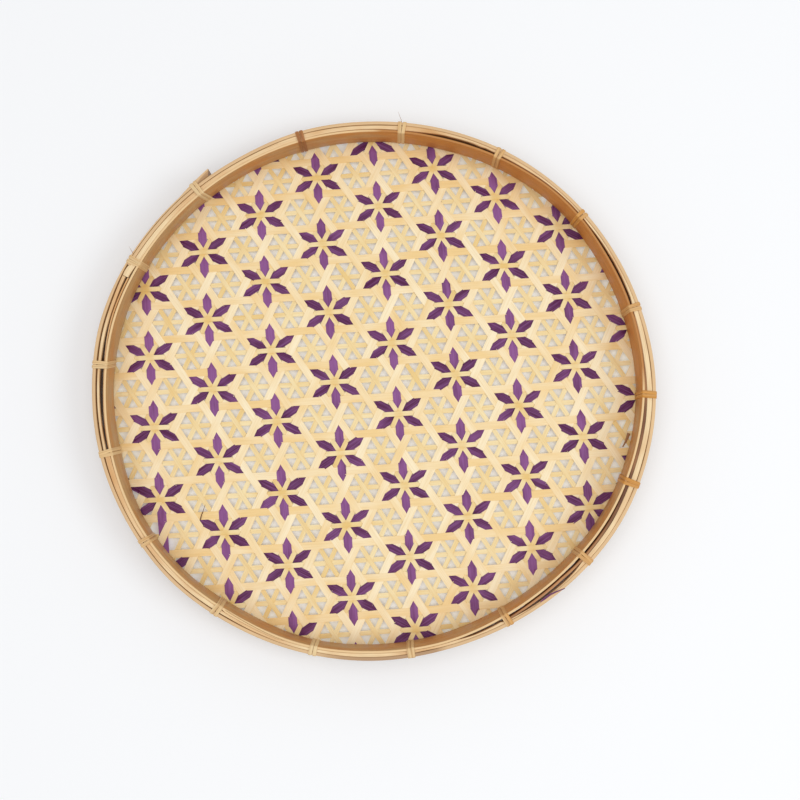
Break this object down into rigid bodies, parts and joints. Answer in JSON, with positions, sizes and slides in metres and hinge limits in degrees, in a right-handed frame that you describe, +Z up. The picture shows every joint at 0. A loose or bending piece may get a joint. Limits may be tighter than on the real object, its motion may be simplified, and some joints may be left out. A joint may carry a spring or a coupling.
{
  "type": "hanging wall basket",
  "caption": "Round, shallow wall basket of split bamboo: an open-weave mat with dyed petal stars, its turned-up ends held between lashed hoops, open at the front.",
  "frame": {"origin": "on the back, at the top: where the fold of the mat's turned-up ends bears on the wall", "axes": "+X to the right and +Z up as it hangs, +Y towards the wall; the open side faces -Y"},
  "size_m": [0.351, 0.0269, 0.3386],
  "materials": {
    "plain_bamboo": "peeled split bamboo, satin",
    "narrow_bamboo": "split bamboo, a little yellower, satin",
    "dyed_bamboo": "split bamboo dyed violet, satin",
    "inner_hoop_bamboo": "tan bamboo band, shaved smooth",
    "outer_hoop_bamboo": "bamboo band with its skin on, satin",
    "filler_bamboo": "pale split bamboo, fibrous",
    "brown_bamboo": "brown split bamboo, fibrous",
    "split_cane": "split cane, satin"
  },
  "bodies": {
    "root": {"wide_weave": "plain_bamboo", "narrow_weave": "narrow_bamboo", "dyed_rising_1": "dyed_bamboo", "dyed_rising_2": "dyed_bamboo", "dyed_rising_3": "dyed_bamboo", "dyed_rising_4": "dyed_bamboo", "dyed_rising_5": "dyed_bamboo", "dyed_rising_6": "dyed_bamboo", "dyed_rising_7": "dyed_bamboo", "dyed_rising_8": "dyed_bamboo", "dyed_upright_1": "dyed_bamboo", "dyed_upright_2": "dyed_bamboo", "dyed_upright_3": "dyed_bamboo", "dyed_upright_4": "dyed_bamboo", "dyed_upright_5": "dyed_bamboo", "dyed_upright_6": "dyed_bamboo", "dyed_upright_7": "dyed_bamboo", "dyed_upright_8": "dyed_bamboo", "dyed_falling_1": "dyed_bamboo", "dyed_falling_2": "dyed_bamboo", "dyed_falling_3": "dyed_bamboo", "dyed_falling_4": "dyed_bamboo", "dyed_falling_5": "dyed_bamboo", "dyed_falling_6": "dyed_bamboo", "dyed_falling_7": "dyed_bamboo", "dyed_falling_8": "dyed_bamboo", "inner_hoop": "inner_hoop_bamboo", "outer_hoop": "outer_hoop_bamboo", "filler_wide": "filler_bamboo", "filler_thin_inner": "filler_bamboo", "filler_thin_outer": "filler_bamboo", "filler_brown_strand": "brown_bamboo", "lashing_1": "split_cane", "lashing_2": "split_cane", "lashing_3": "split_cane", "lashing_4": "split_cane", "lashing_5": "split_cane", "lashing_6": "split_cane", "lashing_7": "split_cane", "lashing_8": "split_cane", "lashing_9": "split_cane", "lashing_10": "split_cane", "lashing_11": "split_cane", "lashing_12": "split_cane", "lashing_13": "split_cane", "lashing_14": "split_cane", "lashing_15": "split_cane", "lashing_16": "split_cane", "lashing_17": "split_cane"}
  },
  "joints": []
}
